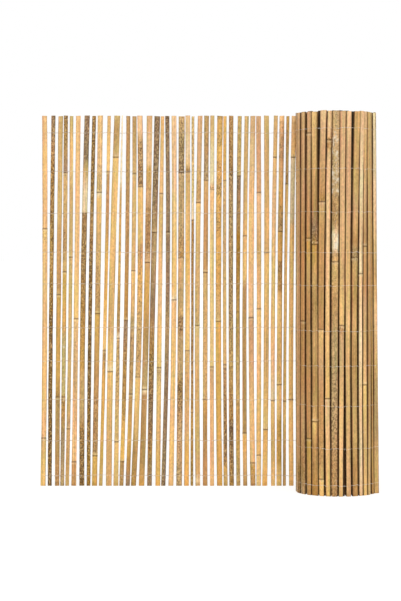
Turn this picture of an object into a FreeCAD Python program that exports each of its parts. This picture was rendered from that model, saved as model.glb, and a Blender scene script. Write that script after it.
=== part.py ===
import FreeCAD, Part
import math
import os
import random
from collections import namedtuple

# Bamboo fence panel: a mat of split canes bound by rows of wire, its last stretch still rolled up.
# Millimetres, +Z up. The flat stretch faces -Y and the roll stands at its right, in front of it.

Vec = FreeCAD.Vector

# Canes
CANE_LENGTH = 1000.0
CANE_THICKNESS = 6.0
CULM_RADIUS = 24.0
SPLIT_DRAFT = 0.7
LENGTH_SCATTER = 2.5
LEAST_GAP = 1.8

# Rings, where the culm had its leaf joints
RING_REACH = 11.0
RING_WIDENING = 1.3
RING_RISE = 0.5

# Binding wire
WIRE_ROWS = 10
WIRE_FOOT_EDGE = 28.0
WIRE_HEAD_EDGE = 47.0
WIRE_THICKNESS = 1.0
WIRE_CLEARANCE = 0.2
WIRE_STRAY = (0, -8, -1, 0, -12, 3, -14, -11, -2, 0)

# Roll
CORE_RADIUS = 34.0
ROLL_TURNS = 7.2
TURN_CLEARANCE = 4.8
ROLL_CROWN = 1.1
ROLL_WEB = 1.6
HEAD_TO_FOOT = 0.975
STRAND_TURN = 0.96
ROLLED_WIDTHS = (11.0, 17.0)
ROLLED_GAPS = (1.8, 4.6)
SEED = 7

SKIN, PITH = "skin", "pith"
Cane = namedtuple("Cane", "head foot gap head_lean foot_lean front rings")

# The flat stretch from its free edge to the roll: width at the head and at the foot, gap to the next cane at
# mid height, how far the head and the foot stand to the right of the middle, the face that looks to the
# front, and the heights of the rings as shares of the cane's length.
CANES = (
    Cane(13.5, 13.5, 4.4, -1.0, -5.0, SKIN, (0.693, 0.128)),
    Cane(11.5, 11.0, 8.4, 6.0, -4.0, PITH, (0.366,)),
    Cane(12.5, 12.5, 3.8, 6.0, -4.0, SKIN, (0.515, 0.239)),
    Cane(11.5, 11.0, 5.3, 3.0, -6.0, SKIN, (0.845, 0.577, 0.239)),
    Cane(10.0, 10.0, 4.9, 3.5, -8.5, SKIN, (0.618, 0.155)),
    Cane(12.5, 13.0, 4.3, 5.5, -7.0, SKIN, (0.450, 0.064)),
    Cane(14.5, 14.0, 7.3, 11.5, -3.0, PITH, (0.737,)),
    Cane(10.5, 10.5, 7.8, 10.5, -5.0, PITH, (0.610,)),
    Cane(14.0, 14.0, 9.5, 7.5, -8.5, SKIN, (0.793, 0.466, 0.082)),
    Cane(9.0, 9.5, 4.0, 10.0, -13.0, SKIN, (0.847, 0.364)),
    Cane(16.0, 15.5, 7.5, 15.5, -7.5, SKIN, (0.888, 0.309)),
    Cane(3.5, 13.0, 10.3, 9.5, -8.0, SKIN, (0.399, 0.120)),
    Cane(11.0, 11.0, 7.0, 5.5, -13.0, SKIN, (0.447, 0.066)),
    Cane(11.0, 11.0, 5.8, 4.5, -14.0, SKIN, (0.842, 0.580, 0.247)),
    Cane(14.5, 14.0, 4.1, 0.0, -17.0, SKIN, (0.807, 0.293)),
    Cane(15.0, 15.0, 1.8, 8.0, -13.5, SKIN, (0.604, 0.261)),
    Cane(15.5, 13.0, 6.5, 12.5, -9.0, PITH, (0.685,)),
    Cane(9.5, 13.5, 9.2, 5.5, -5.5, SKIN, (0.788, 0.318)),
    Cane(11.5, 11.5, 4.9, -2.5, -12.5, PITH, (0.685,)),
    Cane(13.0, 13.5, 3.9, 0.0, -8.5, SKIN, (0.501,)),
    Cane(16.0, 15.5, 4.2, 2.5, -4.5, SKIN, (0.845, 0.615)),
    Cane(12.5, 13.0, 3.1, 0.5, -3.5, SKIN, (0.847, 0.364)),
    Cane(7.0, 7.0, 3.6, 1.5, -1.5, PITH, (0.718, 0.199)),
    Cane(12.5, 13.0, 8.8, 7.5, 1.0, SKIN, (0.766, 0.434)),
    Cane(12.5, 12.5, 5.8, 3.5, -0.5, SKIN, (0.826, 0.577, 0.234)),
    Cane(11.0, 11.0, 4.7, 1.5, 0.5, SKIN, (0.799, 0.320)),
    Cane(15.0, 14.5, 4.8, 4.5, 3.5, SKIN, (0.445,)),
    Cane(8.5, 10.5, 5.9, -1.0, 3.0, SKIN, (0.823, 0.326)),
    Cane(12.5, 12.5, 7.3, 1.0, 2.0, PITH, (0.839, 0.174)),
    Cane(11.0, 11.0, 6.5, 5.0, 1.0, PITH, (0.837,)),
    Cane(11.5, 11.5, 5.1, 6.0, 2.0, SKIN, (0.674, 0.142)),
    Cane(14.0, 14.0, 8.0, 5.0, 5.0, SKIN, (0.453, 0.061)),
    Cane(12.5, 12.5, 7.2, -1.5, -3.0, SKIN, (0.791, 0.477, 0.082)),
    Cane(13.5, 13.5, 5.6, 0.0, -4.5, SKIN, (0.631, 0.153)),
    Cane(11.0, 11.0, 5.8, 7.5, 0.0, SKIN, (0.888, 0.231)),
    Cane(13.0, 13.5, 4.5, 6.0, -2.0, SKIN, (0.688, 0.274)),
    Cane(8.5, 8.5, 5.2, 7.0, -2.5, PITH, (0.815, 0.228)),
    Cane(12.5, 12.5, 5.4, 7.6, 0.0, SKIN, (0.888, 0.234)),
    Cane(13.0, 12.5, 5.7, 4.0, 1.0, SKIN, (0.560,)),
    Cane(11.5, 12.0, 6.2, 2.0, 2.0, PITH, (0.720, 0.300)),
    Cane(14.0, 13.5, 6.3, 1.0, 0.0, SKIN, (0.410,)),
    Cane(12.0, 12.5, 6.7, -1.5, -1.0, SKIN, (0.830, 0.520)),
    Cane(13.0, 13.0, 6.3, -3.5, 0.0, PITH, (0.250,)),
)

# The outer turn of the roll, in the order of winding: back, right side, front. Width, then gap to the next.
OUTER_TURN = (
    (13.0, 4.5),
    (14.0, 4.5),
    (12.0, 5.0),
    (15.0, 4.0),
    (14.0, 4.0),
    (13.0, 4.5),
    (11.0, 4.5),
    (16.0, 4.0),
    (11.0, 6.0),
    (15.0, 4.0),
    (13.0, 3.5),
    (14.5, 3.0),
    (16.0, 6.5),
    (9.5, 1.8),
    (15.0, 4.6),
    (11.5, 2.2),
    (14.0, 3.8),
    (16.5, 3.3),
    (13.0, 3.0),
    (12.5, 3.4),
    (17.5, 2.8),
    (14.5, 3.6),
    (14.0, 2.8),
    (17.5, 3.9),
    (17.0, 6.0),
    (17.0, 2.2),
    (15.0, 1.8),
    (13.0, 3.5),
)

TURN_PITCH = CANE_THICKNESS + TURN_CLEARANCE
ROLL_RADIUS = CORE_RADIUS + ROLL_TURNS * TURN_PITCH
HALF_THICKNESS = CANE_THICKNESS / 2
STRAND = HALF_THICKNESS + WIRE_CLEARANCE
HEIGHTS = {"foot": 0.0, "middle": 0.5, "head": 1.0}


def wire_heights():
    """Mid heights of the wire rows, from the lowest up."""
    pitch = (CANE_LENGTH - WIRE_FOOT_EDGE - WIRE_HEAD_EDGE) / (WIRE_ROWS - 1)
    return [WIRE_FOOT_EDGE + row * pitch + WIRE_STRAY[row % len(WIRE_STRAY)] for row in range(WIRE_ROWS)]


def cane_width(cane, share):
    """Width of a cane at a share of its length from the foot, without its rings."""
    return cane.foot + (cane.head - cane.foot) * share


def place_canes():
    """Centre of each cane at its foot, middle and head, left to right, with the free edge at zero."""
    places = []
    for cane in CANES:
        if not places:
            middle = cane_width(cane, 0.5) / 2
            nearest = {height: -CANE_LENGTH for height in HEIGHTS}
        else:
            last, before = CANES[len(places) - 1], places[-1]
            halves = {h: (cane_width(last, at) + cane_width(cane, at)) / 2 for h, at in HEIGHTS.items()}
            middle = before["middle"] + halves["middle"] + max(last.gap, LEAST_GAP)
            nearest = {height: before[height] + halves[height] + LEAST_GAP for height in HEIGHTS}
        wanted = {"foot": middle + cane.foot_lean, "middle": middle, "head": middle + cane.head_lean}
        places.append({height: max(wanted[height], nearest[height]) for height in HEIGHTS})
    return places


def bowed(place, share):
    """Centre of a cane at a share of its length: a smooth bow through its foot, middle and head."""
    return (
        place["foot"] * (1 - share) * (1 - 2 * share)
        + place["middle"] * 4 * share * (1 - share)
        + place["head"] * share * (2 * share - 1)
    )


def cane_section(centre, width, rise, front, z):
    """Cross-section of a split cane: the culm's round skin, two split sides and a flat inner face."""
    out = -1 if front == SKIN else 1
    half = width / 2
    skin = HALF_THICKNESS + rise
    crown = CULM_RADIUS - math.sqrt(CULM_RADIUS**2 - half**2)
    inner = half - min(SPLIT_DRAFT, half / 2)
    left = Vec(centre - half, out * (skin - crown), z)
    top = Vec(centre, out * skin, z)
    right = Vec(centre + half, out * (skin - crown), z)
    inner_right = Vec(centre + inner, -out * HALF_THICKNESS, z)
    inner_left = Vec(centre - inner, -out * HALF_THICKNESS, z)
    return Part.Wire(
        [
            Part.Arc(left, top, right).toShape(),
            Part.LineSegment(right, inner_right).toShape(),
            Part.LineSegment(inner_right, inner_left).toShape(),
            Part.LineSegment(inner_left, left).toShape(),
        ]
    )


def cane_solid(cane, place, length, wires):
    """One split cane: bowed, tapered and a little wider at each ring. No ring rises under a wire."""
    levels = {0.0: 0.0, CANE_LENGTH / 2: 0.0, length: 0.0}
    for ring in cane.rings:
        height = ring * CANE_LENGTH
        levels[height - RING_REACH] = 0.0
        levels[height] = 1.0
        levels[height + RING_REACH] = 0.0
    sections = []
    for z, swell in sorted(levels.items()):
        share = z / CANE_LENGTH
        bound = any(abs(z - wire) < RING_REACH + WIRE_THICKNESS for wire in wires)
        width = cane_width(cane, share) + swell * RING_WIDENING
        rise = 0.0 if bound else swell * RING_RISE
        sections.append(cane_section(bowed(place, share), width, rise, cane.front, z))
    return Part.makeLoft(sections, True, True)


def wind_roll():
    """The rolled canes, from the tangent in: centre, direction of winding, outward normal and width of each.

    The roll's axis is at zero. It starts at the back, with the mat's plane, and runs clockwise in plan.
    """
    draw = random.Random(SEED)
    canes = []
    angle = 0.0
    while angle < 2 * math.pi * ROLL_TURNS:
        number = len(canes)
        if number < len(OUTER_TURN):
            width, gap = OUTER_TURN[number]
        else:
            width, gap = draw.uniform(*ROLLED_WIDTHS), draw.uniform(*ROLLED_GAPS)
        if canes:
            mean = (canes[-1][3] + width) / 2
            radius = ROLL_RADIUS - TURN_PITCH * angle / (2 * math.pi)
            least = mean * (1 + HALF_THICKNESS / radius) + LEAST_GAP
            angle += max(mean + last_gap, least) / radius
        last_gap = gap
        radius = ROLL_RADIUS - TURN_PITCH * angle / (2 * math.pi)
        outward = Vec(math.sin(angle), math.cos(angle), 0)
        along = Vec(math.cos(angle), -math.sin(angle), 0)
        canes.append((outward * radius, along, outward, width))
    return canes


def roll_outline(canes):
    """Closed outline of the rolled wall: each cane is a ridge, joined to its neighbours at its inner edges.

    Only the canes of the outermost turn have a crowned skin, because of the others just the ends show.
    """
    outer = []
    inner = []
    for number, (centre, along, outward, width) in enumerate(canes):
        outermost = centre.Length > ROLL_RADIUS - TURN_PITCH
        shoulder = outward * (HALF_THICKNESS - (ROLL_CROWN if outermost else 0))
        if number == 0:
            inner.append(centre - along * (width / 2) - outward * HALF_THICKNESS)
        outer.append(centre - along * (width / 2) + shoulder)
        if outermost:
            outer.append(centre + outward * HALF_THICKNESS)
        outer.append(centre + along * (width / 2) + shoulder)
        edge = centre + along * (width / 2) - outward * HALF_THICKNESS
        if number + 1 < len(canes):
            follower, onward, aside, breadth = canes[number + 1]
            joint = (edge + follower - onward * (breadth / 2) - aside * HALF_THICKNESS) * 0.5
            inner.append(joint)
            groove = outward + aside
            groove.normalize()
            outer.append(joint + groove * ROLL_WEB)
        else:
            inner.append(edge)
    return outer + inner[::-1]


def tapered(point, share, still):
    """A point of the roll at a share of its height: it narrows towards its head, about a still point."""
    return still + (point - still) * (1 + (HEAD_TO_FOOT - 1) * share)


def rolled_turns(outline, still):
    """The whole roll as one solid, from its foot outline to its narrower head outline."""
    foot = [Vec(p.x, p.y, 0) for p in outline]
    head = [tapered(p, 1.0, still) + Vec(0, 0, CANE_LENGTH) for p in foot]
    faces = [Part.Face(Part.makePolygon(foot + foot[:1])), Part.Face(Part.makePolygon(head + head[:1]))]
    for number in range(len(foot)):
        after = (number + 1) % len(foot)
        corners = [foot[number], foot[after], head[after], head[number]]
        faces.append(Part.Face(Part.makePolygon(corners + corners[:1])))
    shell = Part.makeShell(faces)
    shell.sewShape()
    solid = Part.makeSolid(shell)
    return solid if solid.Volume > 0 else solid.reversed()


def crossing(first, first_along, second, second_along):
    """Where two lines in plan cross."""
    turn = first_along.x * second_along.y - first_along.y * second_along.x
    apart = second - first
    return first + first_along * ((apart.x * second_along.y - apart.y * second_along.x) / turn)


def strand_line(canes, offset):
    """Corners of a strand on the outer faces of the rolled canes, at an offset from their middle."""
    corners = []
    for (centre, along, outward, _), (follower, onward, aside, _) in zip(canes, canes[1:]):
        corners.append(crossing(centre + outward * offset, along, follower + aside * offset, onward))
    return corners


def wire_row(height, left, post, wound, still):
    """One row of wire: a strand on each side of the flat canes, of which the rear one goes round the roll."""
    share = height / CANE_LENGTH
    near = strand_line(wound, STRAND)
    far = strand_line(wound, STRAND + WIRE_THICKNESS)
    near = [tapered(p, share, still) for p in near]
    far = [tapered(p, share, still) for p in far]
    outer_face = STRAND + WIRE_THICKNESS
    outline = [
        Vec(left - WIRE_THICKNESS, outer_face, 0),
        Vec(left - WIRE_THICKNESS, -outer_face, 0),
        Vec(post + WIRE_THICKNESS, -outer_face, 0),
        Vec(post + WIRE_THICKNESS, STRAND, 0),
    ]
    outline += near + far[::-1]
    slot = [Vec(left, STRAND, 0), Vec(left, -STRAND, 0), Vec(post, -STRAND, 0), Vec(post, STRAND, 0)]
    face = Part.Face([Part.makePolygon(outline + outline[:1]), Part.makePolygon(slot + slot[:1])])
    face.translate(Vec(0, 0, height - WIRE_THICKNESS / 2))
    return face.extrude(Vec(0, 0, WIRE_THICKNESS))


def build():
    """Every solid of the panel by name, with the origin under the middle of its box."""
    wires = wire_heights()
    places = place_canes()
    draw = random.Random(SEED)
    solids = {}
    for number, (cane, place) in enumerate(zip(CANES, places), start=1):
        length = CANE_LENGTH - draw.uniform(0, LENGTH_SCATTER)
        solids[f"cane_{number:02d}"] = cane_solid(cane, place, length, wires)

    last_cane, last_place = CANES[-1], places[-1]
    last_edge = last_place["middle"] + cane_width(last_cane, 0.5) / 2
    wound = wind_roll()
    first_width = wound[0][3]
    tangent = last_edge + last_cane.gap + first_width / 2
    axis = Vec(tangent, -ROLL_RADIUS, 0)
    still = Vec(tangent - ROLL_RADIUS, 0, 0)
    solids["rolled_turns"] = rolled_turns([point + axis for point in roll_outline(wound)], still)

    outside = [
        (centre + axis, along, outward, width)
        for centre, along, outward, width in wound
        if centre.Length > ROLL_RADIUS - TURN_PITCH * STRAND_TURN
    ]
    for number, height in enumerate(wires, start=1):
        share = height / CANE_LENGTH
        left = bowed(places[0], share) - cane_width(CANES[0], share) / 2 - RING_WIDENING / 2 - WIRE_CLEARANCE
        last_right = bowed(last_place, share) + cane_width(last_cane, share) / 2
        first_left = tapered(Vec(tangent - first_width / 2, 0, 0), share, still).x
        post = (last_right + first_left - WIRE_THICKNESS) / 2
        solids[f"wire_row_{number:02d}"] = wire_row(height, left, post, outside, still)

    box = FreeCAD.BoundBox()
    for solid in solids.values():
        box.add(solid.BoundBox)
    for solid in solids.values():
        solid.translate(Vec(-box.Center.x, -box.Center.y, 0))
    return solids


os.makedirs("parts", exist_ok=True)
for name, solid in build().items():
    solid.exportStep(f"parts/{name}.step")
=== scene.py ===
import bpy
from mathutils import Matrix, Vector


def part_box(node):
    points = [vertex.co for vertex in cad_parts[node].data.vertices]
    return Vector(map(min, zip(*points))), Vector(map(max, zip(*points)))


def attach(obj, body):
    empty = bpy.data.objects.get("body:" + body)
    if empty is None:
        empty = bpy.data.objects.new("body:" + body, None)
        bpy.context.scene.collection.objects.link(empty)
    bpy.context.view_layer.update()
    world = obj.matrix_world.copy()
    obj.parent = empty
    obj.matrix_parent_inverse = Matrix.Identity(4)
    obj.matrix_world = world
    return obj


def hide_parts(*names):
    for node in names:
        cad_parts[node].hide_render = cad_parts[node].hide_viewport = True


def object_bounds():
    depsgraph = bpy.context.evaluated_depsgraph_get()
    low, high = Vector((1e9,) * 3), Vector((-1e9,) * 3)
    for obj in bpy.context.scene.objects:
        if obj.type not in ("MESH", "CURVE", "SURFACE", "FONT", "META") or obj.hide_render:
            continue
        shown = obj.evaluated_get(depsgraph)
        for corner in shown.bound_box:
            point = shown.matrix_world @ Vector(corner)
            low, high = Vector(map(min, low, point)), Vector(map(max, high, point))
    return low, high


bl_info = {
    "name": "Bamboo Fence Panel",
    "version": (1, 0, 0),
    "blender": (4, 5, 0),
    "location": "View3D > Sidebar > Bamboo",
    "description": "Split canes, rolled end, binding wire and a plain studio for a bamboo fence panel",
    "category": "Add Mesh",
}

import math
import random

import bmesh
import bpy
from bpy.props import FloatProperty, FloatVectorProperty, IntProperty, PointerProperty
from mathutils import Color, Euler, Vector, noise

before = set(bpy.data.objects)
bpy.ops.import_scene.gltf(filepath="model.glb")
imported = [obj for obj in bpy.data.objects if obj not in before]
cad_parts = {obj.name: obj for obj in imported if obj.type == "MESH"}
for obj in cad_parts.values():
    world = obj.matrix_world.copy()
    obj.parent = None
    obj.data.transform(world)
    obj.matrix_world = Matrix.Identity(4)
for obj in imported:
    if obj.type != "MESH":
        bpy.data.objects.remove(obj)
CAD_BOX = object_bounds()

MILLIMETRE = 0.001
UP = Vector((0, 0, 1))
FRONT = Vector((0, -1, 0))
PANEL_HEIGHT = CAD_BOX[1].z
FLAT_CANES = sorted(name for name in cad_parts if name.startswith("cane_"))
WIRE_NODES = sorted(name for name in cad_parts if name.startswith("wire_row_"))
ROLL_NODE = "rolled_turns"
WIRE_HEIGHTS = [(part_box(name)[0].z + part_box(name)[1].z) / 2 for name in WIRE_NODES]

# Cross-section of a split cane, once round it: the face, the place across from -1 to 1, and on the two split
# sides the share of the way from the skin to the inner face.
SECTION = (
    *(("skin", across, 0) for across in (-1.0, -0.9, -0.62, -0.32, 0.0, 0.32, 0.62, 0.9, 1.0)),
    ("side", 1.0, 0.3),
    ("side", 1.0, 0.7),
    *(("inner", across, 0) for across in (1.0, 0.5, 0.0, -0.5, -1.0)),
    ("side", -1.0, 0.7),
    ("side", -1.0, 0.3),
)

# The plainer cross-section of the canes that show only their ends
PLAIN_SECTION = (
    *(("skin", across, 0) for across in (-1.0, -0.62, 0.0, 0.62, 1.0)),
    *(("inner", across, 0) for across in (1.0, 0.0, -1.0)),
)

# Heights of the mesh rings about a leaf-joint ring and how far others stay off them, in millimetres, how many
# chamfers they stay off a sawn end, and the steps of a cane that shows only its ends
RING_STEPS = (-9, -6, -4, -2.6, -1.6, -0.8, 0, 0.8, 1.6, 2.6, 4, 6, 9)
RING_CLEARANCE = 4
END_CLEARANCE = 4
INNER_STEPS = 3

# Forms and marks of a leaf joint: how far up the cane from the joint each lies, and its width, in millimetres
JOINT_FORMS = {
    "ridge": (3.6, 3.0),
    "scar": (0.0, 0.8),
    "groove": (-1.9, 1.1),
    "edge ridge": (2.5, 5.0),
    "edge scar": (0.0, 0.9),
    "inner wall": (0.0, 1.6),
    "dark line": (-1.0, 1.6),
    "pale band": (3.8, 2.2),
}
JOINT_REACH = 14
FOOT_SLANT_SHARE = 0.3
EDGE_RIDGE_SHARE = 0.7
EDGE_SCAR_SHARE = 0.5
INNER_WALL_RISE = 0.8

# A joint starts to rise this far from a wire and is whole this much further on, in millimetres
WIRE_NEAR = 2
WIRE_EASE = 12

# How much of another colour goes over a cane's own tone: on its hidden face, at the dark line and the pale
# band of a leaf joint, and, as painted shade, on the split sides and along the edges of a flat and a rolled
# cane
BACK_SHARE = 0.75
DARK_LINE_SHARE = 0.85
PALE_BAND_SHARE = 0.4
FLAT_SIDE_SHADE, ROLLED_SIDE_SHADE = 0.2, 0.9
FLAT_EDGE_SHADE, ROLLED_EDGE_SHADE = 0.4, 0.75
SIDE_TONE_MOST = 0.75
# How strongly the painted shade along the edges holds along a cane
EDGE_SHADE_LEVEL = 0.65

# Where the worn edge, the side's tone and the painted shade along the edges begin across a cane, from 0 in
# the middle to 1 at its edge
WEAR_START, SIDE_TONE_START, EDGE_SHADE_START = 0.85, 0.25, 0.75

# Noise that bends a cane's edges and twists it: steps from cane to cane and side to side, then the lane of
# each noise and its rate along a metre
CANE_STEP, SIDE_STEP = 3.7, 40
WANDER_LANE, WANDER_RATE = 0.3, 9
RIPPLE_LANE, RIPPLE_RATE, RIPPLE_SHARE = 5.1, 45, 0.4
TWIST_LANE, TWIST_RATE = 9.2, 2.2

# Tones of the split sides and of the hidden faces, from which each cane draws its own; the canes of the inner
# turns draw only the gap shade, painted shade for the dark inside of the roll
SIDE_TONES = ("umber", "rust", "brown", "olive", "peach", "brown")
BACK_INNER_TONES = ("fibre", "fibre", "tan", "brown")
BACK_SKIN_TONES = ("gold", "peach", "tan")
OUTER_TONES = ("tan", "tan", "peach", "gold", "brown", "brown", "olive", "rust", "grey", "pink", "ochre")
INNER_SHADE_TONES = ("gap_shade",)

# Steps of the noise along a cane's side, for its side tone and its painted edge shade: from cane to cane,
# from side to side and along a metre
SIDE_TONE_STEPS = (1.3, 8.0, 5)
EDGE_SHADE_STEPS = (2.1, 5.0, 7)

# Noise patterns of the materials: stretch along the canes, scale per metre, detail and roughness
PATTERNS = {
    "cast": (0.03, 240, 2, 0.5),
    "broad": (0.012, 300, 3, 0.5),
    "fibres": (0.02, 1500, 2, 0.6),
    "mottle": (0.6, 200, 5, 0.8),
    "flush": (0.25, 70, 3, 0.6),
    "streak": (0.008, 520, 2, 0.5),
    "cloud": (0.7, 300, 5, 0.75),
    "fleck": (0.6, 400, 3, 0.6),
    "speckle": (0.5, 430, 3, 0.6),
    "film": (0.6, 110, 5, 0.65),
    "end dirt": (1.0, 160, 4, 0.5),
    "bloom": (1.0, 320, 3, 0.5),
    "stain": (1.0, 75, 2, 0.5),
}

# Ranges of values in the materials: the lower and upper end, and what they become
RANGES = {
    "cast": (0.32, 0.68, 0.0, 1.0),
    "shade": (0.3, 0.7, 0.77, 1.19),
    "skin fibres": (0.3, 0.7, 0.93, 1.05),
    "bare fibres": (0.3, 0.7, 0.74, 1.14),
    "mottle": (0.34, 0.66, 0.48, 1.46),
    "mottle by blotches": (0.0, 0.5, 0.5, 1.0),
    "flush": (0.34, 0.66, 0.0, 1.0),
    "streak": (0.60, 0.74, 0.0, 0.40),
    "cloud": (0.0, 0.05, 0.0, 0.85),
    "fleck": (0.53, 0.62, 0.0, 0.8),
    "speckle": (0.0, 0.06, 0.0, 0.6),
    "film": (0.70, 0.86, 0.0, 0.75),
    "satin": (0.3, 0.7, 0.38, 0.52),
    "roughness of clouds": (0.0, 0.1, 0.0, 0.2),
    "bundles": (0.15, 0.42, 0.55, 0.0),
    "end dirt": (0.45, 0.7, 0.0, 0.55),
    "bloom": (0.35, 0.7, 0.0, 0.35),
    "stain": (0.46, 0.58, 0.0, 0.85),
    "wire roughness": (0.3, 0.7, 0.4, 0.55),
}
CAST_TINTS = (1.13, 0.98, 0.90, 1), (0.94, 1.01, 0.84, 1)
FLUSH_TINTS = (1.07, 0.98, 1.0, 1), (0.96, 1.01, 0.90, 1)
BLOTCH_COVER = 0.25
CLOUD_LIMIT = 0.66
SPECKLE_LIMIT = 0.73
WAX_COVER = 0.35
BARE_ROUGHNESS, END_ROUGHNESS = 0.82, 0.9
BARE_RELIEF, SKIN_RELIEF = 0.9, 0.25
BAMBOO_BUMP, END_BUMP = 0.6, 0.5
RELIEF_DEPTH = 0.0004
BAMBOO_SPECULAR = 0.35
END_FIBRE_SHARE = 0.8
BUNDLE_SCALE = 1300
WIRE_METALLIC = 0.75

# Rolled canes that no look is given for: zones of their leaf joints, reach of a change of tone there, most
# blotches, how far they sink in or stray, how often the skin faces out, and how much shorter than the panel
# they are; lengths in millimetres
JOINT_ZONES = ((60, 480), (520, 940))
JOINT_STEP_REACH = 6
MOST_BLOTCHES = 0.7
OUTER_SINK = 1.6
STRAY = 0.8
SKIN_OUT_SHARE = 0.65
LENGTH_LOSS = 3.0
ROLLED_NUMBER = 100
ROLLED_SEED = 1000

# The path of a strand: how many canes before the end of the outer turn it stops, its stops across a cane, its
# twists in a gap, and how tightly the two strands wind
CANES_WITHOUT_WIRE = 2
STRAND_STOPS = (-0.92, -0.5, 0.0, 0.5, 0.92)
SLOPE_RANGE = (-0.1, 1.0)
WIDE_GAP_HALF_TURNS = 3
WIDE_GAP_SHARPNESS, GAP_SHARPNESS = 3.2, 1.8
GAP_STOPS, HALF_TURN_STOPS = 5, 4
WINDING_SLACK = 1.06

# Columns that a piece's length is folded into on its map, and the share of the map's height for its ends
FOLDS = {"flat": (7, 0.05), "outer": (4, 0.08), "inner": (1, 0.35), "wire": (24, 0.02)}

# How far below the skin the split sides begin on the map, in millimetres
CROWN_DROP = 1.0

# The map of a cane: margin of a column, and place and size of the two ends in the strip on top
COLUMN_MARGIN = 0.04
END_LEFT = {"foot": 0.02, "head": 0.5}
END_WIDTH, END_HEIGHT, END_MARGIN = 0.45, 0.9, 0.05

# The studio
LAMP_PLACES = {"key": (-1.4, -5.0, 3.9), "fill": (2.3, -5.3, 2.0), "back": (1.2, 5.5, 2.6)}
BACK_SOFTENING = 2
SENSOR_WIDTH = 36
FLOOR_SIZE = 60
FLOOR_GLOW = 0.80
FLOOR_SHOWN = (0.34, 0.34, 0.34, 1)
FLOOR_PLAIN = (0.8, 0.8, 0.8, 1)

# The levels of a solid lie closer together than this only about a leaf joint
JOINT_STEP = 12 * MILLIMETRE

# The roll's outline turns outward by more than this only in the groove between two canes
GROOVE_ANGLE = math.radians(50)

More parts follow.
